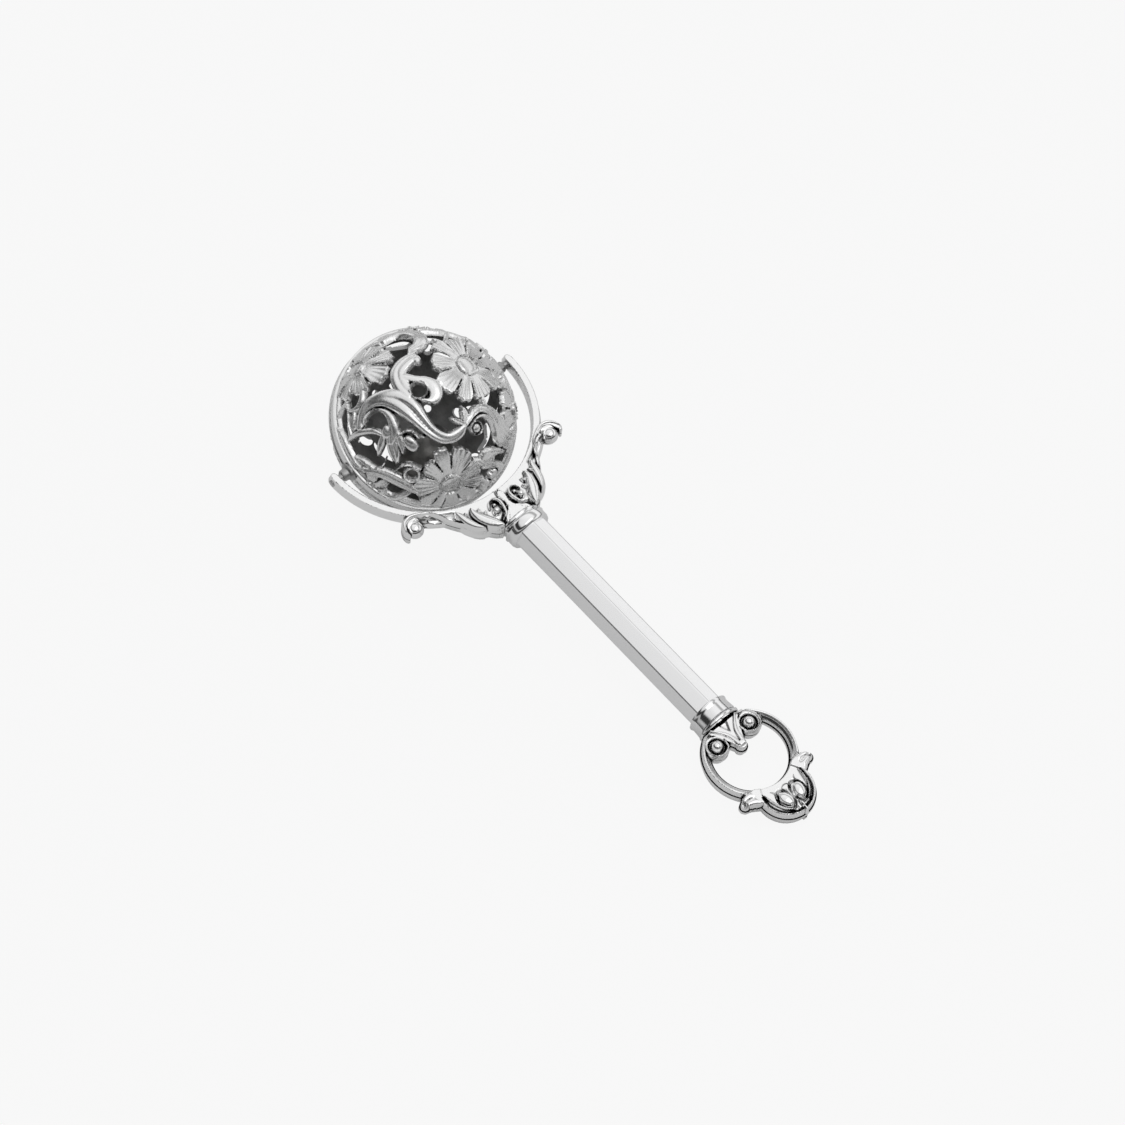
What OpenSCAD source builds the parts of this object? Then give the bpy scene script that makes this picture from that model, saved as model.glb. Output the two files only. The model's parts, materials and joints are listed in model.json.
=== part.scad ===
// Baby rattle: a pierced ball spins between the arms of a yoke, on a straight
// octagonal handle with a finger loop at its far end. A loose bell rolls in the ball.
// The rattle frame has +X from the ball to the loop, +Y along the ball's axle and
// +Z out of the yoke's front face, with its origin between the two axle pins.
// place() lays that frame down on z = 0, as the rattle rests on a table.

/* [Ball] */
// Diameter of the ball over its seam band
ball_d = 38.4; // [36:0.4:40]
// Thickness of the ball's wall
ball_wall = 1.2; // [1:0.1:1.6]
// Width of the smooth band that joins the two half shells
band_w = 4; // [3.6:0.2:5]
// Diameter of the round openings pierced in each half shell
opening_d = 7; // [6:0.2:7.4]
// Turn of the ball on its axle away from the yoke's front
ball_turn = 21; // [0:1:30]

/* [Yoke] */
// Gap between the ball and the inner edge of the yoke
yoke_gap = 2.3; // [2:0.1:2.6]
// Width of the yoke's arms across their flat face
arm_w = 2.1; // [2:0.1:2.6]
// Thickness of the flat yoke
yoke_t = 3; // [2.8:0.1:3.4]
// Diameter of the balls at the ends of the yoke's scrolls
knob_d = 3.5; // [3:0.1:4]

/* [Handle] */
// Width of the octagonal handle across its flats
handle_af = 7.3; // [7:0.1:7.8]
// Length of the handle tube
handle_l = 54; // [45:1:65]

/* [Loop] */
// Outer diameter of the finger loop
loop_d = 19; // [18:0.5:20]
// Diameter of the hole through the finger loop
loop_hole_d = 14.9; // [14:0.1:15]
// Thickness of the loop casting
loop_t = 3.4; // [3:0.1:4]

/* [Bell] */
// Diameter of the bell that rolls inside the ball
bell_d = 13; // [12:0.5:14]

/* [Hidden] */
$fn = 64;

silver = [0.83, 0.84, 0.85];
dark_silver = [0.55, 0.55, 0.56];
bell_metal = [0.45, 0.43, 0.40];

// Ball
band_r = ball_d / 2;
shell_r = band_r - 0.2;
cavity_r = shell_r - ball_wall;
cut_size = 4 * ball_d;
inner_row = 6;
inner_row_polar = 37;
outer_row = 10;
outer_row_polar = 66;

// Axle: pins fixed in the arms, bushes fixed in the seam band
pin_r = 0.75;
bush_bore_r = 0.80;
bush_r = 1.5;
bush_flange_r = 1.9;
bush_flange_t = 0.6;
bush_hub_r = 1.25;
bush_hub_l = yoke_gap - 0.4;
bush_l = 2.4;
pin_end = cavity_r - 0.9;

// Yoke outline
yoke_r = band_r + yoke_gap;
arm_r = yoke_r + arm_w;
arm_mid_r = (yoke_r + arm_r) / 2;
shoulder_r = arm_r + 0.9;
shoulder_angle = 44;
knob_pos = [18.4, 17.7];
knob_seat_r = 1.5;
lobe_pos = [22.9, 4.8];
lobe_r = 5.9;
capital_x = yoke_r + 7.9;
capital_half_w = 4.15;
leaf_t = 1.1;

// Collar, handle and ferrule along +X
collar_lip = 1.8;
collar_socket = 2;
tube_x = capital_x + collar_lip;
tube_end = tube_x + handle_l;
tube_bore_r = 2.85;
tang_r = tube_bore_r - 0.02;
tang_l = 6;
socket_r = 4.7;
ferrule_l = 3.1;
ferrule_overlap = 1.2;
ferrule_x = tube_end - ferrule_overlap;
bead_x = ferrule_x + ferrule_l;
bead_l = 0.9;
terminal_x = bead_x + bead_l;

// Loop casting
loop_r = loop_d / 2;
loop_hole_r = loop_hole_d / 2;
loop_x = terminal_x + 8.2;
volute_pos = [terminal_x + 3.4, 4.1];
volute_r = 2.3;
tongue_r = 1.35;
tongue_x = terminal_x + 5.7;
shield_r = 6;
shield_x = loop_x + 9.9;
shield_t = loop_t + 0.6;
horn_pos = [loop_x + 7.3, 8.1];
horn_r = 1.25;
oval_x = shield_x + 1.5;
oval_y = 2.1;
oval_half_l = 1.7;
oval_half_w = 1.1;
shield_leaf_t = 0.8;
stem_x = shield_x + 0.4;
stem_l = 5;

// The rattle lies on its ball and on the tip of the shield's middle leaf
foot_x = stem_x + stem_l;
foot_z = shield_t / 2 + shield_leaf_t;
lie = asin(shell_r / norm([foot_x, foot_z])) - atan2(foot_z, foot_x);
tip_x = shield_x + shield_r;
x_shift = -(tip_x * cos(lie) + shield_t / 2 * sin(lie) - shell_r) / 2;

// Bell, hanging straight down from the ball's centre
bell_r = bell_d / 2;
bell_wall = 0.6;
bell_drop = cavity_r - bell_r - 0.4;
pellet_r = 1.9;
pellet_drop = bell_r - bell_wall - pellet_r - 0.15;
slot_w = 1.2;
slot_end_r = 1.3;
slot_reach = 4;

// Lays the rattle frame on the table
module place() {
    translate([x_shift, 0, shell_r]) rotate([0, lie, 0]) children();
}

// Frame of the ball, turned on its axle
module place_ball() {
    place() rotate([0, ball_turn, 0]) children();
}

// Frame of the bell, straight below the ball's centre
module place_bell() {
    translate([x_shift, 0, shell_r - bell_drop]) children();
}

// Both sides of the rattle, +Y and -Y
module both_sides() {
    children();
    mirror([0, 1, 0]) children();
}

// A flat profile drawn in Y and Z, extruded along +X from x
module along_x(x, length) {
    translate([x, 0, 0]) rotate([90, 0, 90]) linear_extrude(length) children();
}

// Cushion section: flat sides of half height side_h, crowned top and bottom
module cushion(half_w, side_h, crown_h) {
    rise = crown_h - side_h;
    crown_r = (half_w * half_w + rise * rise) / (2 * rise);
    intersection() {
        translate([0, crown_h - crown_r]) circle(crown_r, $fn = 128);
        translate([0, crown_r - crown_h]) circle(crown_r, $fn = 128);
        square([2 * half_w, 2 * crown_h], center = true);
    }
}

// The handle's octagon, one corner towards +Z
module octagon(across_flats) {
    circle(across_flats / 2 / cos(22.5), $fn = 8);
}

// A pointed leaf of two arcs, its base at the origin and its tip at +X
module leaf(length, width) {
    arc_r = (length * length + width * width) / (4 * width);
    intersection() {
        translate([length / 2, arc_r - width / 2]) circle(arc_r);
        translate([length / 2, width / 2 - arc_r]) circle(arc_r);
    }
}

// ---- Yoke ----

module yoke_outline() {
    difference() {
        union() {
            intersection() {
                circle(arm_r, $fn = 128);
                translate([0, -2 * arm_r]) square(4 * arm_r);
            }
            intersection() {
                circle(shoulder_r, $fn = 128);
                polygon([[0, 0],
                         [2 * arm_r, -2 * arm_r * tan(shoulder_angle)],
                         [2 * arm_r, 2 * arm_r * tan(shoulder_angle)]]);
            }
            both_sides() {
                translate([0, arm_mid_r]) circle(arm_w / 2 + 0.1);
                translate([knob_pos.x - 0.8, knob_pos.y - 0.7]) circle(knob_seat_r);
                translate(lobe_pos) circle(lobe_r);
            }
            polygon([[yoke_r - 1, -4], [capital_x - 1.6, -capital_half_w + 0.9],
                     [capital_x, -capital_half_w], [capital_x, capital_half_w],
                     [capital_x - 1.6, capital_half_w - 0.9], [yoke_r - 1, 4]]);
        }
        circle(yoke_r, $fn = 128);
    }
}

module yoke() {
    color(silver) place() difference() {
        union() {
            translate([0, 0, -yoke_t / 2]) linear_extrude(yoke_t) yoke_outline();
            along_x(capital_x - 0.01, tang_l + collar_lip + 0.01) circle(tang_r);
        }
        rotate([90, 0, 0]) cylinder(r = pin_r, h = 3 * arm_r, center = true);
        both_sides() translate([knob_pos.x, knob_pos.y, 0]) sphere(knob_d / 2);
    }
}

// Three leaf lobes and a rolled scroll on each side, with a bud in the middle
module yoke_leaf_outline() {
    both_sides() {
        translate([26.6, 7.2]) rotate(155) leaf(6.6, 2.3);
        translate([27.2, 5.4]) rotate(170) leaf(5.6, 2.5);
        translate([27.6, 3.2]) circle(1.1);
        translate([25.2, 3.1]) circle(1.9);
    }
    translate([28.6, 0]) rotate(180) leaf(6.2, 2.2);
}

module yoke_leaves_front() {
    color(silver) place() translate([0, 0, yoke_t / 2]) linear_extrude(leaf_t) yoke_leaf_outline();
}

module yoke_leaves_back() {
    color(silver) place() translate([0, 0, -yoke_t / 2 - leaf_t]) linear_extrude(leaf_t) yoke_leaf_outline();
}

module yoke_knobs() {
    color(silver) place() both_sides() translate([knob_pos.x, knob_pos.y, 0]) sphere(knob_d / 2);
}

// ---- Axle ----

// A pin fixed in the +Y arm, reaching from its outer face into the ball
module pin() {
    translate([0, pin_end, 0]) rotate([-90, 0, 0]) cylinder(r = pin_r, h = arm_r - pin_end);
}

module pivot_pin_left() {
    color(dark_silver) place() mirror([0, 1, 0]) pin();
}

module pivot_pin_right() {
    color(dark_silver) place() pin();
}

// A flanged bush through the seam band on the +Y side of the ball
module bush() {
    rotate([-90, 0, 0]) difference() {
        union() {
            translate([0, 0, band_r - bush_l]) cylinder(r = bush_r, h = bush_l);
            translate([0, 0, band_r]) cylinder(r = bush_flange_r, h = bush_flange_t);
            translate([0, 0, band_r]) cylinder(r = bush_hub_r, h = bush_hub_l);
        }
        cylinder(r = bush_bore_r, h = 2 * band_r);
    }
}

module bush_left() {
    color(dark_silver) place_ball() mirror([0, 1, 0]) bush();
}

module bush_right() {
    color(dark_silver) place_ball() bush();
}

// ---- Ball ----

// A row of round openings at one angle from the pole
module opening_row(count, polar, first) {
    for (i = [0 : count - 1])
        rotate([0, 0, first + i * 360 / count]) rotate([0, polar, 0])
            translate([0, 0, cavity_r / 2]) cylinder(d = opening_d, h = shell_r);
}

// The half shell on +Z, from the band's edge to the pole
module half_shell() {
    difference() {
        sphere(shell_r, $fn = 128);
        sphere(cavity_r, $fn = 128);
        translate([0, 0, band_w / 2 - cut_size / 2]) cube(cut_size, center = true);
        opening_row(inner_row, inner_row_polar, 30);
        opening_row(outer_row, outer_row_polar, 18);
    }
}

module shell_upper() {
    color(silver) place_ball() half_shell();
}

module shell_lower() {
    color(silver) place_ball() mirror([0, 0, 1]) half_shell();
}

module seam_band() {
    color(silver) place_ball() difference() {
        intersection() {
            sphere(band_r, $fn = 128);
            cube([cut_size, cut_size, band_w], center = true);
        }
        sphere(cavity_r, $fn = 128);
        rotate([90, 0, 0]) cylinder(r = bush_r, h = cut_size, center = true);
    }
}

// ---- Handle ----

module collar() {
    color(silver) place() difference() {
        union() {
            along_x(capital_x, collar_lip) cushion(capital_half_w, 1.5, 4.3);
            along_x(tube_x, collar_socket) circle(socket_r);
        }
        along_x(capital_x - 1, collar_lip + 1.01) circle(tube_bore_r);
        along_x(tube_x, collar_socket + 1) octagon(handle_af);
    }
}

module handle_tube() {
    color(silver) place() along_x(tube_x, handle_l) difference() {
        octagon(handle_af);
        circle(tube_bore_r);
    }
}

module handle_ferrule() {
    color(silver) place() difference() {
        along_x(ferrule_x, ferrule_l) cushion(4.4, 1.8, 4.5);
        along_x(ferrule_x - 1, ferrule_overlap + 1) octagon(handle_af);
        along_x(tube_end - 0.01, ferrule_l) circle(tube_bore_r);
    }
}

module ferrule_bead() {
    color(silver) place() along_x(bead_x, bead_l) difference() {
        cushion(4.7, 1.2, 3.9);
        circle(tube_bore_r);
    }
}

// ---- Loop ----

// Capital, two volutes and a tongue that hang into the loop
module capital_outline() {
    polygon([[terminal_x, -4.2], [terminal_x, 4.2],
             [volute_pos.x, volute_pos.y], [tongue_x, tongue_r],
             [tongue_x, -tongue_r], [volute_pos.x, -volute_pos.y]]);
    translate([tongue_x, 0]) circle(tongue_r);
    both_sides() translate(volute_pos) circle(volute_r);
}

module loop_outline() {
    difference() {
        intersection() {
            translate([loop_x, 0]) circle(loop_r, $fn = 128);
            translate([terminal_x, -loop_d]) square(2 * loop_d);
        }
        translate([loop_x, 0]) circle(loop_hole_r, $fn = 128);
    }
    capital_outline();
}

// Round shield at the loop's far end, with a horn on each side
module shield_outline() {
    difference() {
        union() {
            translate([shield_x, 0]) circle(shield_r);
            both_sides() {
                translate(horn_pos) circle(horn_r);
                polygon([[loop_x + 6.5, 6], [loop_x + 6.1, 7.7],
                         [horn_pos.x + 1, horn_pos.y + 0.6], [stem_x, 5.7],
                         [shield_x, 4]]);
            }
        }
        translate([loop_x, 0]) circle(loop_hole_r + 0.8, $fn = 128);
    }
}

module ring_terminal() {
    color(silver) place() {
        translate([0, 0, -loop_t / 2]) linear_extrude(loop_t) loop_outline();
        translate([0, 0, -shield_t / 2]) linear_extrude(shield_t) shield_outline();
        along_x(tube_end - tang_l, terminal_x - tube_end + tang_l + 0.01) circle(tang_r);
    }
}

// Oval leaves, side leaves and a middle leaf on the shield
module shield_leaf_outline() {
    both_sides() {
        translate([oval_x - oval_half_l, oval_y]) leaf(2 * oval_half_l, 2 * oval_half_w);
        translate([shield_x - 0.8, 4.6]) leaf(4, 1.2);
    }
    translate([stem_x, 0]) leaf(stem_l, 1.1);
}

module terminal_leaves_front() {
    color(silver) place() {
        translate([0, 0, shield_t / 2]) linear_extrude(shield_leaf_t) shield_leaf_outline();
        both_sides() translate([volute_pos.x, volute_pos.y, loop_t / 2]) cylinder(r = 1.3, h = leaf_t);
    }
}

module terminal_leaves_back() {
    color(silver) place() translate([0, 0, -shield_t / 2 - shield_leaf_t])
        linear_extrude(shield_leaf_t) shield_leaf_outline();
}

// ---- Bell ----

// One half of the bell's shell: side is 1 for the half on +Z and -1 for -Z
module half_bell(side) {
    difference() {
        sphere(bell_r);
        sphere(bell_r - bell_wall);
        translate([0, 0, -side * bell_r]) cube([4 * bell_r, 4 * bell_r, 2 * bell_r], center = true);
    }
}

// Crossed slots with round ends, cut up through the lower half
module bell_slots() {
    for (turn = [0, 90])
        rotate([0, 0, turn]) {
            translate([0, 0, -bell_r]) cube([2 * slot_reach, slot_w, 2 * bell_r], center = true);
            for (end = [-1, 1])
                translate([end * slot_reach, 0, -2 * bell_r]) cylinder(r = slot_end_r, h = 2 * bell_r);
        }
}

module bell_upper() {
    color(bell_metal) place_bell() half_bell(1);
}

module bell_lower() {
    color(bell_metal) place_bell() difference() {
        half_bell(-1);
        bell_slots();
    }
}

module bell_pellet() {
    color(dark_silver) place_bell() translate([0, 0, -pellet_drop]) sphere(pellet_r);
}

yoke();
yoke_leaves_front();
yoke_leaves_back();
yoke_knobs();
pivot_pin_left();
pivot_pin_right();
collar();
handle_tube();
handle_ferrule();
ferrule_bead();
ring_terminal();
terminal_leaves_front();
terminal_leaves_back();
shell_upper();
shell_lower();
seam_band();
bush_left();
bush_right();
bell_upper();
bell_lower();
bell_pellet();
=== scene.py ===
"""Looks of the baby rattle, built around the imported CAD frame.

Each flat casting and each half shell of the ball is a "relief": shapes drawn in a flat chart in
millimetres, each with a depth (how far inside its own outline a point is) and a height. A lattice
clipped to the outline turns them into one closed solid, laid on a plane or wrapped on the sphere.
"""

import json
import math

import bpy
import numpy as np
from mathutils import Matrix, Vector


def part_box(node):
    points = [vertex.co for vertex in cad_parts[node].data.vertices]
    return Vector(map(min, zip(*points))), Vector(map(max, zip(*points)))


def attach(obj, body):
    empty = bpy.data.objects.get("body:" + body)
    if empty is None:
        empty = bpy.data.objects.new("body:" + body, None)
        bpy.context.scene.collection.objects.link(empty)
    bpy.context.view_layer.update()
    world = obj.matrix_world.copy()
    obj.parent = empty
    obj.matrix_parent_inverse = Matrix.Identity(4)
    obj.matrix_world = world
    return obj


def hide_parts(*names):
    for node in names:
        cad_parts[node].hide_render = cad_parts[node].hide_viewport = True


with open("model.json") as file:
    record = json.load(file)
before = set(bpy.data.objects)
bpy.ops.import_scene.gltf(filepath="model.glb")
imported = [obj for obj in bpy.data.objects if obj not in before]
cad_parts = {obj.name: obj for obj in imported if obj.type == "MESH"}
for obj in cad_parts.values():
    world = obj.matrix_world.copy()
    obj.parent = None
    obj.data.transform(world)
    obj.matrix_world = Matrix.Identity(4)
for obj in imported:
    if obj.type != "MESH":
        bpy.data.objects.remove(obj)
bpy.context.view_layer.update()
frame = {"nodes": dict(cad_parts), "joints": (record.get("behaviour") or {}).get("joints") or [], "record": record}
MM = 0.001

# ---- The rattle's own frame: U from ball to loop, V along the axle, W out of the front face ----

JOINTS = {joint["name"]: joint for joint in frame["joints"]}
MOUNTS = {mount["name"]: mount for mount in frame["record"]["mounts"]}
ORIGIN = np.array(JOINTS["ball_spin"]["pos_m"])
V_AXIS = np.array(JOINTS["ball_spin"]["axis"], float)
W_AXIS = np.array(MOUNTS["ribbon_loop"]["axis"]) / np.linalg.norm(MOUNTS["ribbon_loop"]["axis"])
U_AXIS = np.cross(V_AXIS, W_AXIS)
AXES = np.array([U_AXIS, V_AXIS, W_AXIS])


def rattle(u, v, w):
    """Points in the rattle's frame, in millimetres, as points in metres."""
    return ORIGIN + MM * (np.stack(np.broadcast_arrays(u, v, w), -1) @ AXES)


def span(node):
    """Lowest and highest corners of a CAD node in the rattle's frame, in millimetres."""
    points = np.array([vertex.co for vertex in frame["nodes"][node].data.vertices])
    local = (points - ORIGIN) @ AXES.T / MM
    return local.min(0), local.max(0)


# ---- Sizes, in millimetres, from the frame and from part.scad ----

SHELL_R = span("shell_upper")[1][1]
BAND_R = span("seam_band")[1][1]
ARM_OUT = span("yoke")[1][1]
ARM_W = 2.1
YOKE_IN = ARM_OUT - ARM_W
YOKE_HALF_T = 1.5
COLLAR_U = span("collar")[0][0]
TUBE_U, TUBE_END = span("handle_tube")[0][0], span("handle_tube")[1][0]
FERRULE_U, BEAD_U, LOOP_TOP_U = (
    span("handle_ferrule")[0][0],
    span("ferrule_bead")[0][0],
    span("ferrule_bead")[1][0],
)
LOOP_U = LOOP_TOP_U + 8.2
LOOP_OUT, LOOP_IN = 9.5, 7.45
LOOP_HALF_T = 1.7
SHIELD_HALF_T = 2.0
KNOB_U, KNOB_V, KNOB_R = 18.4, 17.6, 1.75
BALL_TURN = math.radians(21)
PIN_R = 0.75
HANDLE_AF = 7.3

# ---- Lattice spacing of each relief, in millimetres ----

SHELL_GRID = 0.23
BELL_GRID = 0.35
YOKE_GRID = 0.15
YOKE_LEAF_GRID = 0.12
LOOP_GRID = 0.13
SHIELD_LEAF_GRID = 0.11

# ---- Small mesh helpers ----


def smooth(t):
    t = np.clip(t, 0, 1)
    return t * t * (3 - 2 * t)


def swell(t):
    """A soft hump: 1 at t = 0 and nothing beyond t = 1."""
    return np.clip(1 - t * t, 0, 1) ** 2


def add_mesh(name, points, faces, body, nodes, materials, sharp=38, indices=None):
    """A mesh that rides on a CAD body and stands for some of its nodes."""
    mesh = bpy.data.meshes.new(name)
    mesh.from_pydata(np.asarray(points).tolist(), [], faces)
    for material in materials:
        mesh.materials.append(material)
    if indices is not None:
        mesh.polygons.foreach_set("material_index", indices)
    mesh.validate()
    mesh.shade_smooth()
    mesh.set_sharp_from_angle(angle=math.radians(sharp))
    piece = bpy.data.objects.new(name, mesh)
    bpy.context.scene.collection.objects.link(piece)
    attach(piece, body)
    if nodes:
        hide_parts(*nodes)


def ring_faces(rings, count, closed=False):
    """Quads between rings of points, with flat ends unless the last ring meets the first."""
    faces = []
    for ring in range(rings if closed else rings - 1):
        a, b = ring * count, ((ring + 1) % rings) * count
        for i in range(count):
            j = (i + 1) % count
            faces.append((a + i, a + j, b + j, b + i))
    if not closed:
        faces.append(tuple(range(count))[::-1])
        faces.append(tuple(range((rings - 1) * count, rings * count)))
    return faces


def loft(stations, outline):
    """Rings of an outline in V and W along +U: each station is (u, scale across)."""
    outline = np.array(outline)
    rings = [rattle(u, outline[:, 0] * scale, outline[:, 1] * scale) for u, scale in stations]
    return np.vstack(rings), ring_faces(len(rings), len(outline))


def circle(count=48):
    angle = np.arange(count) * 2 * math.pi / count
    return np.stack([np.cos(angle), np.sin(angle)], -1)


def lathe(profile, origin, axis, count=48):
    """A turned solid: profile is (along, radius) from one end to the other, along axis."""
    axis = np.array(axis, float)
    side = np.cross(axis, [0.0, 0.0, 1.0] if abs(axis[2]) < 0.9 else [1.0, 0.0, 0.0])
    side /= np.linalg.norm(side)
    other = np.cross(axis, side)
    around = circle(count)
    rings = [
        origin + MM * (along * axis + radius * (around[:, :1] * side + around[:, 1:] * other))
        for along, radius in profile
    ]
    return np.vstack(rings), ring_faces(len(rings), count)


# ---- Shapes in a flat chart: (centre x, centre y, reach, sample), sample gives depth and height ----

# Over how much depth a shape rises from what lies under it
BLEND = 0.4


def spline(points, step=0.25):
    """Close points on a Catmull-Rom curve through rows of numbers."""
    rows = np.array(points, float)
    rows = np.vstack([2 * rows[0] - rows[1], rows, 2 * rows[-1] - rows[-2]])
    curve = []
    for a, b, c, d in zip(rows, rows[1:], rows[2:], rows[3:]):
        count = max(2, int(np.hypot(*(c - b)[:2]) / step))
        t = np.linspace(0, 1, count, endpoint=False)[:, None]
        curve.append(b + 0.5 * t * (c - a + t * (2 * a - 5 * b + 4 * c - d + t * (3 * b - 3 * c + d - a))))
    return np.vstack([*curve, rows[-2:-1]])


def ribbon(points, height=0.8, flutes=0, groove=0.22, crown=0.35):
    """A band through points (x, y, half width), crowned across and fluted along its length.

    A fourth number in each point sets how deep the flutes are there.
    """
    line = spline(points)
    place, width = line[:, :2], line[:, 2]
    grooves = line[:, 3] if line.shape[1] > 3 else np.full(len(line), groove)
    tangent = np.gradient(place, axis=0)
    tangent /= np.linalg.norm(tangent, axis=1)[:, None]
    centre = place.mean(0)
    reach = np.max(np.linalg.norm(place - centre, axis=1) + width) + 1

    def sample(x, y):
        offset = np.stack([x, y], -1)[:, None] - place
        distance = np.linalg.norm(offset, axis=-1) - width
        near = distance.argmin(1)
        offset = offset[np.arange(len(near)), near]
        across = offset[:, 0] * tangent[near, 1] - offset[:, 1] * tangent[near, 0]
        along = (offset * tangent[near]).sum(1)
        along[(near > 0) & (near < len(place) - 1)] = 0
        depth = width[near] - np.hypot(across, along)
        off = np.clip(across / width[near], -1, 1)
        reeds = np.abs(np.sin(math.pi * flutes * (off + 1) / 2)) - 1 if flutes else 0
        return depth, height - crown * off**2 + grooves[near] * reeds

    return [(*centre, reach, sample)]


def leaf(base, tip, half_width, bend=0.0, height=0.8, flutes=2):
    """A pointed leaf with a midrib, bowed sideways by bend."""
    base, tip = np.array(base, float), np.array(tip, float)
    side = np.array([tip[1] - base[1], base[0] - tip[0]]) / np.linalg.norm(tip - base)
    stages = ((0, 0.45), (0.25, 0.95), (0.55, 1.0), (0.82, 0.55), (1, 0.08))
    points = [
        (*(base + (tip - base) * t + side * bend * 4 * t * (1 - t)), half_width * share)
        for t, share in stages
    ]
    return ribbon(points, height, flutes, crown=0.45)


def dome(x0, y0, rx, ry=None, turn=0.0, height=0.9, base=0.3):
    """An oval boss."""
    ry = ry or rx

    def sample(x, y):
        c, s = math.cos(turn), math.sin(turn)
        a = ((x - x0) * c + (y - y0) * s) / rx
        b = ((y - y0) * c - (x - x0) * s) / ry
        q = np.hypot(a, b)
        return (1 - q) * min(rx, ry), base + (height - base) * np.sqrt(np.clip(1 - q * q, 0, 1))

    return [(x0, y0, max(rx, ry) + 1, sample)]


def ring(x0, y0, radius, half_width, height=0.8):
    """A round moulding."""

    def sample(x, y):
        off = (np.hypot(x - x0, y - y0) - radius) / half_width
        return half_width * (1 - np.abs(off)), height - 0.35 * np.clip(off, -1, 1) ** 2

    return [(x0, y0, radius + half_width + 1, sample)]


def petals(x0, y0, radius, count, turn, level):
    """Broad petals of uneven width, parted at their ends, with a raised edge and fine veins."""

    def sample(x, y):
        r = np.hypot(x - x0, y - y0)
        angle = np.arctan2(y - y0, x - x0) - turn
        place = (angle + 0.1 * np.sin(3 * angle)) * count / (2 * math.pi)
        index = np.round(place) % count
        off = np.abs(place - np.round(place)) * 2
        size = radius * (1 + 0.06 * np.cos(2.3 * index))
        edge = size * (1 - 0.3 * off**5 + 0.018 * np.cos(3 * math.pi * off))
        share = r / size
        lift = 0.25 * share + 0.22 * share * off**2
        rim = 0.1 * swell((off - 0.78) / 0.2) * smooth(share * 3 - 1)
        parting = 0.5 * smooth((off - 0.86) / 0.14) * smooth(share * 4 - 1.4)
        veins = 0.035 * np.cos(5 * math.pi * off) * smooth(share * 3 - 1)
        return (edge - r) * 0.8, level + lift + rim + veins - parting

    return [(x0, y0, radius * 1.1 + 1, sample)]


def daisy(x0, y0, radius, count=9, turn=0.0):
    """A flower: petals, a few more showing between them, and a button in a raised ring."""
    button = 0.29 * radius
    return [
        *petals(x0, y0, 0.84 * radius, count, turn + math.pi / count, 0.0),
        *petals(x0, y0, radius, count, turn, 0.42),
        *dome(x0, y0, button * 0.85, height=0.75, base=0.45),
        *ring(x0, y0, button, 0.36, 1.12),
    ]


def hole(x0, y0, rx, ry=None, turn=0.0):
    return dome(x0, y0, rx, ry, turn)


def rounded(depth, radius):
    """How far a rounded edge drops at a depth inside the outline."""
    return radius * (1 - np.clip(depth / radius, 0, 1)) ** 2


def chamfered(depth, width):
    """How far a softened chamfer drops at a depth inside the outline."""
    return 0.8 * width * (1 - np.clip(depth / width, 0, 1)) ** 1.35


def relief(shapes, holes=(), limit=None, edge=0.3, base=0.0, drop=rounded):
    """The union of shapes less the holes, kept inside limit, with its free edges let down by drop."""

    def field(x, y):
        depth = np.full(x.shape, -4.0)
        height = np.full(x.shape, base)
        for x0, y0, reach, sample in shapes:
            near = np.hypot(x - x0, y - y0) < reach
            if near.any():
                d, h = sample(x[near], y[near])
                depth[near] = np.maximum(depth[near], d)
                height[near] = np.maximum(height[near], base + (h - base) * smooth(d / BLEND))
        for x0, y0, reach, sample in holes:
            near = np.hypot(x - x0, y - y0) < reach
            if near.any():
                depth[near] = np.minimum(depth[near], -sample(x[near], y[near])[0])
        if limit:
            depth = np.minimum(depth, limit(x, y))
        return depth, height - drop(depth, edge)

    return field


def flip(shapes):
    """The same shapes on the other side of the y = 0 line."""
    return [
        (x0, -y0, reach, lambda x, y, sample=sample: sample(x, -y))
        for x0, y0, reach, sample in shapes
    ]


def both(*groups):
    shapes = [shape for group in groups for shape in group]
    return shapes + flip(shapes)


# ---- From a field to a closed solid ----


def lattice(low, high, spacing):
    """Points of a triangular lattice, and its triangles."""
    gap = spacing * math.sqrt(0.75)
    rows = int((high[1] - low[1]) / gap) + 2
    cols = int((high[0] - low[0]) / spacing) + 2
    j, i = np.mgrid[0:rows, 0:cols]
    x = low[0] + spacing * (i + 0.5 * (j % 2))
    y = low[1] + gap * j
    at = (j * cols + i)[:-1, :-1]
    shifted = (j[:-1, :-1] % 2).astype(bool)
    a, b, c, d = at, at + 1, at + cols, at + cols + 1
    first = np.where(shifted[..., None], np.stack([a, b, d], -1), np.stack([a, b, c], -1))
    second = np.where(shifted[..., None], np.stack([a, d, c], -1), np.stack([b, d, c], -1))
    return x.ravel(), y.ravel(), np.vstack([first.reshape(-1, 3), second.reshape(-1, 3)])


def pull_to_outline(x, y, depth, field, spacing):
    """Moves the points that lie close to the outline onto it, so that no sliver is cut there."""
    step = 0.01
    near = np.flatnonzero(np.abs(depth) < spacing)
    gx = (field(x[near] + step, y[near])[0] - depth[near]) / step
    gy = (field(x[near], y[near] + step)[0] - depth[near]) / step
    slope = np.maximum(gx**2 + gy**2, 0.05)
    close = np.abs(depth[near]) < 0.38 * spacing * np.sqrt(slope)
    near, gx, gy, slope = near[close], gx[close], gy[close], slope[close]
    x[near] -= depth[near] * gx / slope
    y[near] -= depth[near] * gy / slope
    depth[near] = 0


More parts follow.
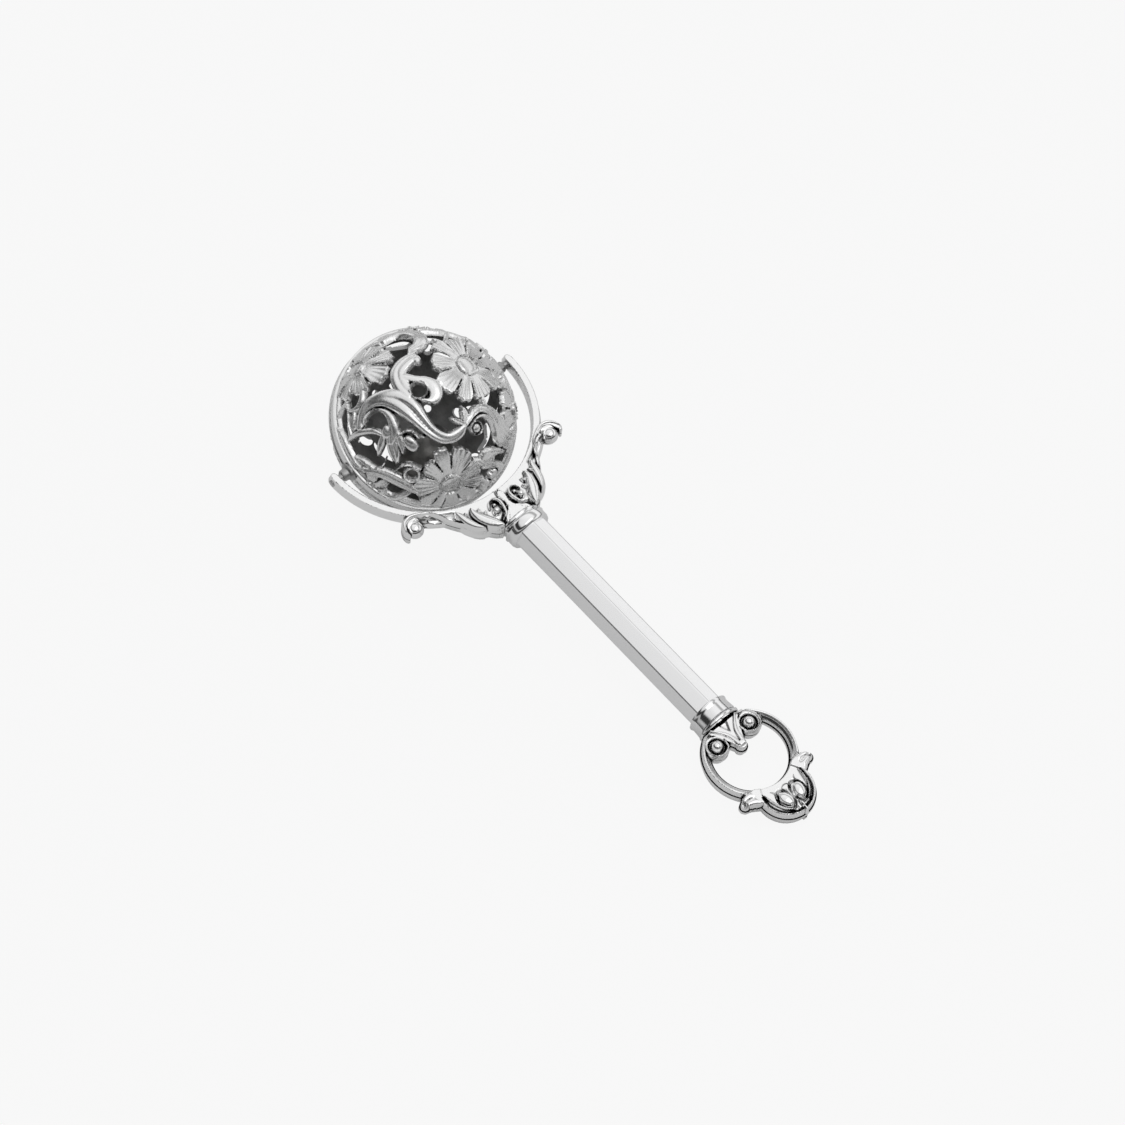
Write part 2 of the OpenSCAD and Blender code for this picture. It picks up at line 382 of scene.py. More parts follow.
def clip(x, y, depth, triangles):
    """Triangles of the part where depth is above zero, cut along the outline, with new points."""
    low, high = depth[triangles].min(1), depth[triangles].max(1)
    kept = triangles[(low >= 0) & (high > 0)].tolist()
    xs, ys, cuts = x.tolist(), y.tolist(), {}

    def cut(a, b):
        key = (min(a, b), max(a, b))
        if key not in cuts:
            a, b = key
            t = depth[a] / (depth[a] - depth[b])
            cuts[key] = len(xs)
            xs.append(x[a] + t * (x[b] - x[a]))
            ys.append(y[a] + t * (y[b] - y[a]))
        return cuts[key]

    for triangle in triangles[(low < 0) & (high > 0)].tolist():
        corners = []
        for a, b in zip(triangle, triangle[1:] + triangle[:1]):
            if depth[a] >= 0:
                corners.append(a)
            if depth[a] * depth[b] < 0:
                corners.append(cut(a, b))
        kept += [(corners[0], b, c) for b, c in zip(corners[1:], corners[2:])]
    return np.array(xs), np.array(ys), np.array(kept)


def largest_piece(triangles, count):
    """The triangles joined to the biggest group, so that no loose speck is left."""
    label = np.arange(count)
    while True:
        lowest = label[triangles].min(1)
        before = label.copy()
        for corner in range(3):
            np.minimum.at(label, triangles[:, corner], lowest)
        label = label[label]
        if (label == before).all():
            break
    groups, sizes = np.unique(label[triangles[:, 0]], return_counts=True)
    return triangles[label[triangles[:, 0]] == groups[sizes.argmax()]]


def solid(field, low, high, spacing, place, under, whole=True):
    """A closed solid from under(height) up to the field's height, inside the field's outline."""
    x, y, triangles = lattice(low, high, spacing)
    depth = field(x, y)[0]
    pull_to_outline(x, y, depth, field, spacing)
    x, y, triangles = clip(x, y, depth, triangles)
    if whole:
        triangles = largest_piece(triangles, len(x))
    used, triangles = np.unique(triangles, return_inverse=True)
    triangles = triangles.reshape(-1, 3)
    x, y = x[used], y[used]
    height = field(x, y)[1]
    count = len(x)
    points = np.vstack([place(x, y, height), place(x, y, under(height))])
    edges = np.vstack([triangles[:, [0, 1]], triangles[:, [1, 2]], triangles[:, [2, 0]]])
    single = ~np.isin(edges[:, 0] * count + edges[:, 1], edges[:, 1] * count + edges[:, 0])
    rim = edges[single]
    walls = np.stack([rim[:, 1], rim[:, 0], rim[:, 0] + count, rim[:, 1] + count], -1)
    faces = triangles.tolist() + (triangles[:, ::-1] + count).tolist() + walls.tolist()
    indices = [0] * len(triangles) + [1] * (len(triangles) + len(walls))
    return points, faces, indices


# ---- Materials ----


def link(output, socket):
    output.id_data.links.new(output, socket)


def node_material(name, colour, roughness, metallic=1.0):
    """A material with its Principled shader, its node tree, and object coordinates in metres."""
    material = bpy.data.materials.new(name)
    material.use_nodes = True
    tree = material.node_tree
    shader = tree.nodes["Principled BSDF"]
    shader.inputs["Base Color"].default_value = (*colour, 1)
    shader.inputs["Roughness"].default_value = roughness
    shader.inputs["Metallic"].default_value = metallic
    where = tree.nodes.new("ShaderNodeTexCoord").outputs["Object"]
    return material, tree, shader, where


def noise(tree, where, scale, detail=3.0):
    node = tree.nodes.new("ShaderNodeTexNoise")
    node.inputs["Scale"].default_value = scale
    node.inputs["Detail"].default_value = detail
    link(where, node.inputs["Vector"])
    return node.outputs["Fac"]


def ramp(tree, value, stops):
    node = tree.nodes.new("ShaderNodeValToRGB")
    elements = node.color_ramp.elements
    while len(elements) < len(stops):
        elements.new(0.5)
    for element, (position, colour) in zip(elements, stops):
        element.position = position
        element.color = (*colour, 1)
    link(value, node.inputs["Fac"])
    return node.outputs["Color"]


def grey(value):
    return (value, value, value)


def bump(tree, shader, height, strength, distance):
    node = tree.nodes.new("ShaderNodeBump")
    node.inputs["Strength"].default_value = strength
    node.inputs["Distance"].default_value = distance
    link(height, node.inputs["Height"])
    link(node.outputs["Normal"], shader.inputs["Normal"])


def polished_silver():
    """Bright silver with faint handling marks and a slight waviness."""
    material, tree, shader, where = node_material("polished_silver", (0.9, 0.9, 0.905), 0.1)
    marks = noise(tree, where, 900, 6)
    link(ramp(tree, marks, ((0.3, grey(0.07)), (0.75, grey(0.17)))), shader.inputs["Roughness"])
    bump(tree, shader, noise(tree, where, 350, 2), strength=0.05, distance=0.0002)
    return material


def chased_silver(name, bright, dark, reach, low, high, roughness):
    """Relief silver: bright on its ridges, with painted shade darkening recesses about as narrow as reach (mm)
    through an ambient occlusion mask.

    low and high are the openness at which it is fully dark and fully bright.
    """
    material, tree, shader, where = node_material(name, bright, roughness)
    recess = tree.nodes.new("ShaderNodeAmbientOcclusion")
    recess.inputs["Distance"].default_value = reach * MM
    # painted shade: the ambient occlusion mask darkens the base colour in narrow recesses
    painted_recess_shade = ramp(tree, recess.outputs["AO"], ((low, dark), (high, bright)))
    link(painted_recess_shade, shader.inputs["Base Color"])
    spots = noise(tree, where, 1500, 5)
    rough = ramp(tree, spots, ((0.3, grey(roughness - 0.05)), (0.7, grey(roughness + 0.07))))
    link(rough, shader.inputs["Roughness"])
    bump(tree, shader, noise(tree, where, 2600, 3), strength=0.1, distance=0.0002)
    return material


def dark_silver():
    """Darker, duller silver for the inside of the ball and the walls of its openings."""
    material, tree, shader, where = node_material("darker_inner_silver", grey(0.45), 0.5, metallic=0.6)
    cloud = noise(tree, where, 260, 5)
    link(ramp(tree, cloud, ((0.3, grey(0.28)), (0.75, grey(0.62)))), shader.inputs["Base Color"])
    bump(tree, shader, noise(tree, where, 1200, 4), strength=0.3, distance=0.0003)
    return material


def satin_metal(name, colour, shade, roughness):
    """Turned or cast metal with fine grain and a little tarnish."""
    material, tree, shader, where = node_material(name, colour, roughness)
    cloud = noise(tree, where, 500, 5)
    link(ramp(tree, cloud, ((0.3, shade), (0.7, colour))), shader.inputs["Base Color"])
    bump(tree, shader, noise(tree, where, 3000, 3), strength=0.25, distance=0.0002)
    return material


def pale_floor(glow=0.14, paper_tone=0.965, paper_share=0.93):
    """Pale and even where the camera sees it, and a softer grey where the silver reflects it."""
    material, tree, shader, where = node_material("pale_floor", grey(0.58), 0.8, metallic=0.0)
    cloud = noise(tree, where, 6, 2)
    link(ramp(tree, cloud, ((0.3, grey(0.56)), (0.7, grey(0.6)))), shader.inputs["Base Color"])
    shader.inputs["Emission Color"].default_value = (*grey(1.0), 1)
    shader.inputs["Emission Strength"].default_value = glow
    paper = tree.nodes.new("ShaderNodeEmission")
    paper.inputs["Color"].default_value = (*grey(paper_tone), 1)
    seen = tree.nodes.new("ShaderNodeMath")
    seen.operation = "MULTIPLY"
    seen.inputs[1].default_value = paper_share
    link(tree.nodes.new("ShaderNodeLightPath").outputs["Is Camera Ray"], seen.inputs[0])
    mix = tree.nodes.new("ShaderNodeMixShader")
    link(seen.outputs[0], mix.inputs["Fac"])
    link(shader.outputs["BSDF"], mix.inputs[1])
    link(paper.outputs["Emission"], mix.inputs[2])
    link(mix.outputs["Shader"], tree.nodes["Material Output"].inputs["Surface"])
    return material


SILVER = polished_silver()
# Both relief silvers darken their recesses with painted shade, the cast one nearly to black
CHASED = chased_silver("chased_silver", grey(0.85), grey(0.08), reach=0.6, low=0.35, high=0.8,
                       roughness=0.24)
CAST = chased_silver("cast_silver", grey(0.92), grey(0.03), reach=0.7, low=0.45, high=0.8,
                     roughness=0.1)
DARK = dark_silver()
PIN_METAL = satin_metal("pin_metal", grey(0.55), shade=grey(0.35), roughness=0.35)
BELL_METAL = satin_metal("bell_metal", (0.36, 0.35, 0.34), shade=(0.17, 0.17, 0.165), roughness=0.35)

# ---- Ball: two half shells of stamped openwork, a band and two bushes ----

CHART_TURN = math.radians(36)
CHART_HALF = 28.5
WALL_IN = SHELL_R - 1.2
SHELL_BASE = SHELL_R - 0.85
BAND_HALF_W = 2.0
SHELL_EDGE = SHELL_R * math.acos(BAND_HALF_W / SHELL_R)
LOWER_TURN = math.radians(100)
LOWER_GROWTH = 0.7


def ball_point(x, y, radius, side):
    """Wraps the flat chart on the ball: distances from the pole are true. side is 1 or -1."""
    distance = np.hypot(x, y)
    polar = distance / SHELL_R
    share = np.where(distance > 1e-9, np.sin(polar) / np.maximum(distance, 1e-9), 1 / SHELL_R)
    y = y * side
    t = share * (math.sin(CHART_TURN) * x - math.cos(CHART_TURN) * y)
    v = share * (math.cos(CHART_TURN) * x + math.sin(CHART_TURN) * y)
    n = side * np.cos(polar)
    c, s = math.cos(BALL_TURN), math.sin(BALL_TURN)
    return rattle(radius * (c * t + s * n), radius * v, radius * (c * n - s * t))


def flowers():
    return [
        *daisy(4.8, 7.5, 8.4, 9, 0.35),
        *daisy(-20.2, 10.4, 8.8, 9, 0.05),
        *daisy(3.0, -18.9, 8.8, 10, 0.15),
        *daisy(20.9, 0.9, 7.4, 9, 0.2),
        *daisy(-18.2, -22.0, 5.8, 8, 0.4),
        *daisy(14.2, 18.4, 6.6, 9, 0.1),
        *daisy(-3.8, 25.2, 5.0, 8, 0.3),
        *daisy(19.5, -18.6, 5.6, 8, 0.2),
    ]


def main_scroll():
    """The fluted S that sweeps across the front, with its arch, stem and buds."""
    return [
        *ribbon([(-19.4, -6.0, 0.7, 0), (-18.9, -4.2, 1.0, 0), (-17.9, -2.0, 1.35, 0.05),
                 (-15.8, -0.3, 1.75, 0.08), (-13.0, 0.1, 2.1, 0.1), (-10.2, -0.8, 2.6, 0.25),
                 (-7.9, -2.6, 2.5, 0.5), (-5.8, -4.9, 1.9, 0.55), (-3.7, -7.0, 1.5, 0.35),
                 (-1.5, -8.3, 1.45, 0.2), (0.6, -8.5, 1.35, 0.1), (2.4, -7.5, 1.3, 0.05),
                 (3.4, -6.1, 0.8, 0)], 1.0, flutes=2, crown=0.45),
        *ribbon([(-18.1, -5.2, 0.35), (-17.4, -3.4, 0.45), (-15.2, -2.25, 0.5), (-12.9, -3.0, 0.8),
                 (-11.6, -4.8, 1.1), (-11.1, -7.2, 1.2), (-11.6, -9.6, 0.7)], 1.05, crown=0.4),
        *ribbon([(-22.4, -8.2, 0.8), (-20.5, -7.3, 1.0), (-18.0, -6.9, 1.0), (-15.8, -7.0, 0.9),
                 (-14.0, -7.7, 0.7)], 0.8, flutes=1, groove=0.12),
        *leaf((-13.2, -7.6), (-14.8, -13.2), 1.0, 0.3, flutes=1),
        *leaf((-12.0, -7.6), (-10.2, -14.6), 1.5, 0.2, flutes=2),
        *leaf((-10.8, -6.6), (-8.9, -12.6), 1.0, -0.2, flutes=1),
        *dome(-12.7, -7.3, 1.3, 1.8, height=1.05),
        *dome(-7.5, -9.9, 1.45, 2.3, 0.7, height=1.0),
        *ribbon([(-10.2, -8.6, 0.4), (-8.9, -7.4, 0.55), (-7.3, -7.3, 0.55), (-5.9, -8.7, 0.4)], 0.95),
        *leaf((-6.4, -8.5), (-4.3, -8.5), 0.5),
    ]


def upper_scroll():
    """The second S, above the first, with its eye and the arc over its head."""
    return [
        *ribbon([(-5.7, 7.9, 0.7), (-6.7, 9.0, 1.3), (-8.4, 8.0, 1.75), (-9.8, 6.2, 1.9),
                 (-10.0, 4.3, 1.95), (-9.3, 2.3, 1.9), (-8.2, 0.8, 1.5)], 0.9, flutes=2, groove=0.16),
        *ribbon([(-7.4, 8.6, 1.2), (-6.9, 10.3, 1.0), (-6.4, 11.8, 1.3)], 0.8),
        *dome(-5.9, 8.5, 1.1, height=0.95),
        *ribbon([(-8.6, 4.2, 1.2), (-6.4, 3.6, 1.0), (-4.4, 3.1, 1.25), (-2.9, 1.9, 1.6),
                 (-2.5, 0.2, 1.5), (-3.4, -1.0, 0.95), (-5.2, -0.9, 0.5), (-6.8, -0.3, 0.35)], 0.85),
        *ring(-6.0, 1.25, 1.8, 0.4, 0.95),
        *ribbon([(-6.6, 11.4, 1.0), (-5.2, 12.6, 1.5), (-4.3, 14.6, 1.85), (-4.4, 16.8, 1.9),
                 (-5.8, 18.7, 1.8), (-8.4, 19.8, 1.6), (-11.0, 19.3, 1.3), (-12.9, 17.6, 0.9)],
                0.9, flutes=2, groove=0.14),
    ]


def right_scroll():
    """The C on the right with its curl, its long leaf and the small blade at its start."""
    return [
        *ribbon([(4.0, -5.6, 0.5), (4.9, -3.6, 0.9), (6.6, -2.0, 1.1), (8.8, -1.8, 1.2),
                 (11.0, -2.8, 1.5), (13.2, -4.6, 1.9), (15.8, -6.1, 2.2), (18.6, -6.7, 2.0),
                 (21.2, -6.2, 1.3), (22.8, -5.2, 0.5)], 0.95, flutes=3, groove=0.28),
        *ribbon([(5.6, -4.6, 0.4), (7.0, -3.5, 0.6), (8.8, -3.3, 0.7), (10.6, -4.2, 0.8),
                 (11.9, -5.8, 0.8), (12.9, -7.6, 0.8), (14.5, -8.8, 0.7)], 0.75, flutes=1),
        *ring(6.5, -6.0, 1.4, 0.35, 0.9),
        *dome(6.5, -6.0, 1.15, height=0.75),
        *leaf((12.4, -6.6), (19.4, -9.2), 1.3),
        *leaf((8.6, -1.6), (7.6, 0.5), 0.85),
        *leaf((3.9, -5.7), (2.7, -1.7), 1.0, 0.3),
        *leaf((3.8, -5.6), (0.1, -4.4), 0.8),
        *leaf((9.6, -11.0), (17.5, -9.8), 1.2),
        *dome(11.4, -12.2, 2.6, 2.2, height=0.8),
        *ribbon([(11.0, -14.0, 1.1), (15.0, -13.6, 0.9), (18.0, -13.6, 1.0), (21.0, -14.2, 1.3),
                 (24.0, -14.6, 1.0)], 0.75, flutes=2),
        *leaf((10.0, -13.6), (7.6, -12.8), 0.9),
        *ribbon([(9.5, -18.4, 0.7), (12.5, -17.6, 0.7), (15.0, -18.7, 1.0)], 0.7),
    ]


def top_work():
    """Struts and curls between the upper flowers."""
    return [
        *ribbon([(-2.8, 15.0, 0.5), (-0.8, 14.7, 0.5), (0.9, 13.6, 0.6)], 0.6),
        *ribbon([(0.6, 13.0, 0.7), (1.7, 15.2, 0.75), (2.5, 17.2, 0.65), (3.1, 19.0, 0.6)], 0.7),
        *ribbon([(-3.4, 19.4, 0.7), (0.0, 19.6, 0.8), (3.5, 19.6, 0.8), (8.0, 18.8, 0.8)], 0.7),
        *ribbon([(6.3, 18.8, 0.6), (6.7, 16.8, 0.6), (6.2, 14.8, 0.6)], 0.7),
        *ring(14.9, 7.4, 2.1, 0.75, 0.75),
        *dome(15.0, 7.5, 0.9, height=0.95),
        *ribbon([(13.0, 5.4, 0.5), (11.8, 6.6, 0.7), (11.6, 8.6, 0.7), (12.6, 10.8, 0.8),
                 (14.6, 11.9, 1.0), (17.0, 11.6, 1.0), (19.5, 9.6, 0.8), (21.3, 7.4, 0.8)],
                0.75, flutes=1),
        *leaf((9.4, 12.8), (9.0, 21.0), 1.2, 0.4),
        *leaf((17.5, 10.8), (23.0, 12.5), 1.4),
        *ribbon([(1.0, 19.6, 0.8), (2.2, 22.5, 1.2), (5.5, 25.5, 1.3), (9.0, 26.0, 1.0)], 0.7, 2),
        *ribbon([(-12.6, 18.0, 0.8), (-13.4, 21.0, 1.3), (-12.0, 24.5, 1.5)], 0.75, 2),
        *leaf((-13.0, 17.6), (-19.8, 20.6), 1.4, -0.6),
    ]


def left_work():
    """Volute, leaves and bands down the left side."""
    return [
        *ribbon([(-18.6, 4.4, 0.8), (-18.4, 2.2, 0.9), (-18.8, 0.4, 0.95), (-20.0, -1.0, 0.9),
                 (-21.8, -1.1, 0.7), (-23.0, 0.2, 0.6)], 0.8, flutes=1),
        *ribbon([(-25.5, 6.3, 0.5), (-24.2, 3.6, 0.5), (-22.9, 1.0, 0.5), (-22.5, -2.0, 0.5),
                 (-22.6, -5.0, 0.6), (-22.3, -7.8, 0.8)], 0.75, flutes=1),
        *ribbon([(-22.2, 3.2, 0.3), (-23.8, 1.6, 0.35), (-25.6, 0.2, 0.4), (-27.0, -1.6, 0.4)], 0.7),
        *leaf((-20.7, -1.4), (-21.2, -7.0), 0.8),
        *ribbon([(-27.5, -4.5, 0.9), (-25.9, -7.5, 1.2), (-25.2, -10.0, 1.5), (-24.0, -13.0, 1.6),
                 (-22.0, -15.5, 1.3), (-19.6, -17.0, 1.0)], 0.85, flutes=2),
        *ribbon([(-21.5, -13.2, 0.6), (-19.6, -14.0, 0.8), (-17.6, -15.3, 0.8), (-15.6, -16.4, 0.6)],
                0.75, flutes=2),
        *ribbon([(-13.0, -13.2, 0.22), (-13.6, -14.8, 0.26), (-14.6, -16.2, 0.3)], 0.6),
        *leaf((-22.0, -11.6), (-19.2, -11.0), 0.7),
    ]


def lower_work():
    """Fluted band, small curl and rings below the main scroll."""
    return [
        *ribbon([(-21.5, -16.2, 0.8), (-18.5, -16.7, 1.0), (-15.5, -16.9, 1.3), (-12.6, -17.7, 1.6),
                 (-9.6, -19.0, 1.6), (-6.8, -20.5, 1.2), (-4.6, -21.8, 0.7)], 0.9, flutes=3),
        *ring(-6.7, -17.0, 1.7, 0.55, 0.85),
        *ribbon([(-10.8, -16.4, 0.35), (-9.2, -14.9, 0.5), (-7.2, -14.6, 0.5), (-5.0, -15.4, 0.5)], 0.9),
        *ribbon([(-14.8, -23.3, 0.9), (-12.6, -25.0, 1.1), (-9.8, -24.9, 1.1), (-7.8, -23.2, 1.0),
                 (-6.2, -21.3, 0.7)], 0.85, flutes=1),
        *ribbon([(-9.4, -25.2, 0.9), (-6.5, -26.2, 0.9), (-3.0, -27.2, 0.8)], 0.7, flutes=1),
        *ribbon([(11.0, -20.0, 0.8), (12.6, -23.0, 1.0), (12.0, -25.5, 1.0)], 0.7, flutes=1),
        *ribbon([(21.5, -6.5, 0.9), (24.3, -9.5, 1.1), (24.0, -13.5, 1.1)], 0.7, flutes=2),
    ]


def shell_field():
    shapes = [*flowers(), *main_scroll(), *upper_scroll(), *right_scroll()]
    shapes += [*top_work(), *left_work(), *lower_work(), *ring(0, 0, SHELL_EDGE - 0.45, 0.55, 0.5)]
    holes = [
        *hole(-6.0, 1.25, 1.45, 1.35),
        *hole(-7.8, -6.4, 0.6, 0.35, 0.5),
        *hole(14.8, -11.7, 1.1, 0.9),
        *hole(-6.5, -17.0, 1.15, 0.75, -0.3),
        *hole(-21.4, 2.0, 1.0, 1.6),
        *hole(18.8, -3.6, 0.8, 0.7),
    ]
    return relief(shapes, holes, lambda x, y: SHELL_EDGE - np.hypot(x, y))


def lower_shell_field(front):
    """The same ornament, turned and fuller, with its own openings."""
    c, s = math.cos(LOWER_TURN), math.sin(LOWER_TURN)
    windows = [
        *ribbon([(20.9, -2.2, 1.2), (20.5, 0.9, 0.8), (18.6, 3.4, 0.8)]),
        *ribbon([(-8.0, -23.6, 1.3), (-5.0, -24.4, 1.7), (-2.6, -24.6, 1.3)]),
        *hole(5.9, -7.9, 0.9),
        *hole(13.1, -6.7, 1.5, 1.1, 0.6),
        *hole(-8.6, 0.2, 1.9, 1.2),
        *hole(-7.2, -10.7, 0.8),
        *hole(4.2, -22.8, 1.2),
    ]

    def field(x, y):
        depth, height = front(x * c - y * s, x * s + y * c)
        depth = np.minimum(depth + LOWER_GROWTH, SHELL_EDGE - np.hypot(x, y))
        for x0, y0, reach, sample in windows:
            near = np.hypot(x - x0, y - y0) < reach
            depth[near] = np.minimum(depth[near], -sample(x[near], y[near])[0])
        return depth, height

    return field


def half_shell(name, side, field):
    points, faces, indices = solid(
        field, (-CHART_HALF, -CHART_HALF), (CHART_HALF, CHART_HALF), SHELL_GRID,
        lambda x, y, z: ball_point(x, y, SHELL_BASE + z, side),
        lambda height: np.full(height.shape, WALL_IN - SHELL_BASE),
    )
    add_mesh(name, points, faces, "ball", [name.replace("openwork", "shell")],
             [CHASED, DARK], indices=indices)


def seam_band():
    """A thin hoop with a bead along each edge, turned about the ball's own axis."""
    edge = -BAND_HALF_W
    profile = [(WALL_IN + 0.1, edge), (SHELL_R - 0.15, edge), (BAND_R - 0.1, edge + 0.2),
               (BAND_R - 0.1, edge + 0.55), (BAND_R - 0.35, edge + 0.75), (BAND_R - 0.2, -0.5)]
    profile += [(radius, -across) for radius, across in reversed(profile)]
    count = 192
    c, s = math.cos(BALL_TURN), math.sin(BALL_TURN)
    around = circle(count)
    rings = [
        rattle(c * around[:, 0] * radius + s * across, around[:, 1] * radius,
               c * across - s * around[:, 0] * radius)
        for radius, across in profile
    ]
    faces = ring_faces(len(rings), count, closed=True)
    add_mesh("seam_hoop", np.vstack(rings), faces, "ball", ["seam_band"],
             [CHASED], sharp=50)


def bush(name, side):
    start, hub_end = BAND_R - 2.4, BAND_R + 1.9
    profile = [(start, 0.8), (start, 1.5), (BAND_R - 0.1, 1.5), (BAND_R - 0.1, 1.9),
               (BAND_R + 0.35, 1.9), (BAND_R + 0.55, 1.7), (BAND_R + 0.6, 1.3), (hub_end - 0.2, 1.2),
               (hub_end, 1.05), (hub_end, 0.8)]
    points, faces = lathe(profile, ORIGIN, side * V_AXIS)
    add_mesh(name, points, faces, "ball", [name.replace("hub", "bush")], [PIN_METAL])


def pin(name, side):
    start = span("pivot_pin_right")[0][1]
    profile = [(start, 0.25), (start + 0.1, 0.55), (start + 0.35, PIN_R), (ARM_OUT - 0.1, PIN_R),
               (ARM_OUT, PIN_R - 0.1)]
    points, faces = lathe(profile, ORIGIN, side * V_AXIS)
    add_mesh(name, points, faces, "handle", [name.replace("axle", "pivot")], [PIN_METAL])


# ---- Bell ----

BELL_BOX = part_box("bell_upper")
BELL_R = (BELL_BOX[1].x - BELL_BOX[0].x) / 2 / MM
BELL_WALL = 0.6
BELL_SLOT = 4.2
BELL_CENTRE = np.array([ORIGIN[0], 0, BELL_BOX[0].z])


def bell_point(x, y, radius, side):
    polar = np.hypot(x, y) / BELL_R
    share = np.sin(polar) / np.maximum(np.hypot(x, y), 1e-9)
    return BELL_CENTRE + MM * np.stack(
        [radius * share * x, radius * share * y * side, radius * np.cos(polar) * side], -1
    )


def bell_half(name, side, slots):
    reach = BELL_R * math.pi / 2
    skin = [(0, 0, 2 * reach, lambda x, y: (reach - np.hypot(x, y), np.full(x.shape, BELL_WALL)))]
    skin += ring(0, 0, reach - 0.5, 0.5, 1.0)
    holes = []
    if slots:
        for x, y in ((BELL_SLOT, 0), (0, BELL_SLOT)):
            holes += ribbon([(-x, -y, 0.6), (x, y, 0.6)])
        for x, y in ((4.4, 0), (-4.4, 0), (0, 4.4), (0, -4.4)):
            holes += hole(x, y, 1.3)
    field = relief(skin, holes, edge=0.15, base=BELL_WALL)
    points, faces, _ = solid(
        field, (-reach - 1, -reach - 1), (reach + 1, reach + 1), BELL_GRID,
        lambda x, y, z: bell_point(x, y, BELL_R - BELL_WALL + z, side),
        lambda height: np.zeros(height.shape),
    )
    add_mesh(name, points, faces, "bell", [name.replace("jingle", "bell")], [BELL_METAL])


def pellet():
    """A cast ball with a flat from its sprue and a faint mould line."""
    low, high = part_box("bell_pellet")
    centre, radius = np.array((low + high) / 2), (high.x - low.x) / 2 / MM
    angles = np.linspace(0.12, math.pi - 0.02, 28)
    profile = [
        (-radius * math.cos(a), radius * math.sin(a) + 0.05 * math.exp(-((a - math.pi / 2) / 0.05) ** 2))
        for a in angles
    ]
    points, faces = lathe(profile, centre, (0, 0, 1))
    add_mesh("loose_pellet", points, faces, "pellet", ["bell_pellet"], [BELL_METAL])


# ---- Yoke ----


def flat_place(half_t=0.0, side=1):
    return lambda x, y, z: rattle(x, side * y, side * (half_t + z))


def yoke_plate_field():
    """Arms, shoulders, lobes and the flared capital of the flat casting, with sloping outer sides."""
    middle, half = (ARM_OUT + YOKE_IN) / 2, ARM_W / 2
    shoulder = ARM_OUT + 0.85

    def outline(x, y):
        r, side = np.hypot(x, y), np.abs(y)
        arm = np.where(x > 0, half - np.abs(r - middle), half - np.hypot(x * 0.6, side - middle))
        wide = np.minimum(shoulder - r, (x * 0.94 - side) * 0.7)
        lobe = 5.9 - np.hypot(x - 22.9, side - 4.8)
        seat = 1.9 - np.hypot(x - KNOB_U + 0.4, side - KNOB_V + 0.2)
        flare = 3.35 + 0.8 * np.clip((x - 29.0) / 1.9, 0, 1) ** 2
        capital = np.minimum(np.minimum(flare - side, COLLAR_U + 0.1 - x), x - 20)
        outer = np.maximum.reduce([wide, lobe, seat, capital])
        depth = np.maximum(arm, np.minimum(outer, r - YOKE_IN))
        slope = np.clip(1.25 - np.maximum(lobe, capital), 0, 1.25) * smooth((x - 17) / 3)
        slope *= smooth((r - ARM_OUT + 1.2) / 1.2)
        hollow = 0.9 * swell((side - 16.0) / 1.6) * swell((x - 18.6) / 1.8)
        return depth, YOKE_HALF_T - 0.95 * slope - hollow

    return relief([(0, 0, 100, outline)], edge=0.5, base=YOKE_HALF_T - 1.6, drop=chamfered)


def yoke_plate():
    points, faces, _ = solid(
        yoke_plate_field(), (-3, -25), (32, 25), YOKE_GRID, flat_place(),
        lambda height: -np.maximum(height, YOKE_HALF_T - 0.6)
    )
    add_mesh("yoke_plate", points, faces, "handle", ["yoke"], [CAST], sharp=28)


def yoke_leaf_shapes():
    """Acanthus leaves, a coiled scroll with a ball, a flared vase over the collar and the lip
    that runs out along each shoulder and rolls round its knob."""
    inner = ribbon([(22.2, 6.9, 0.15), (23.9, 7.0, 0.95), (26.0, 6.2, 1.45), (27.9, 5.1, 1.25),
                    (29.5, 4.1, 0.35)], 1.3, crown=0.9)
    outer = ribbon([(20.9, 9.9, 0.15), (22.5, 9.4, 0.85), (24.4, 9.0, 1.0), (26.2, 8.3, 0.8),
                    (27.7, 7.3, 0.25)], 1.0, crown=0.75)
    teeth = leaf((24.9, 6.6), (23.0, 5.3), 0.55, height=1.0) + leaf((25.8, 5.8), (24.3, 4.6), 0.5, height=1.0)
    teeth += leaf((23.9, 9.0), (22.1, 8.0), 0.5, height=0.8)
    coil = ribbon([(28.2, 3.0, 0.3), (27.5, 2.0, 0.5), (26.1, 1.5, 0.62), (24.6, 1.4, 0.6),
                   (23.6, 2.1, 0.5), (23.8, 3.2, 0.38), (24.8, 3.9, 0.3)], 1.35, crown=0.7)
    ball = dome(26.0, 3.15, 0.95, height=1.6) + dome(24.7, 2.6, 0.6, height=0.9)
    lip = ribbon([(28.9, 4.9, 0.2), (27.9, 6.1, 0.25), (26.6, 7.7, 0.25), (24.0, 10.0, 0.25),
                  (21.6, 11.6, 0.25), (19.6, 12.5, 0.35), (18.0, 13.6, 0.45), (16.9, 15.3, 0.55),
                  (16.2, 17.2, 0.6), (16.7, 18.9, 0.6), (18.3, 19.9, 0.45), (19.3, 19.8, 0.25)],
                 0.6, crown=0.5)
    rim = ribbon([(22.9, 0.3, 0.2), (24.0, 0.85, 0.25), (25.6, 0.7, 0.22), (27.2, 1.0, 0.24),
                  (28.6, 1.9, 0.26), (30.0, 3.5, 0.28)], 1.1, crown=0.3)
    vase = ribbon([(22.7, 0, 0.2), (23.8, 0, 1.0), (25.4, 0, 0.75), (27.1, 0, 1.05),
                   (28.6, 0, 2.0), (30.0, 0, 3.4)], 0.55, crown=-0.2)
    shapes = both(inner, outer, teeth, coil, ball, lip, rim) + vase
    for u, height in ((29.9, 0.95), (30.7, 1.1)):
        shapes += ribbon([(u, -3.9, 0.25), (u + 0.15, 0, 0.3), (u, 3.9, 0.25)], height)
    return shapes


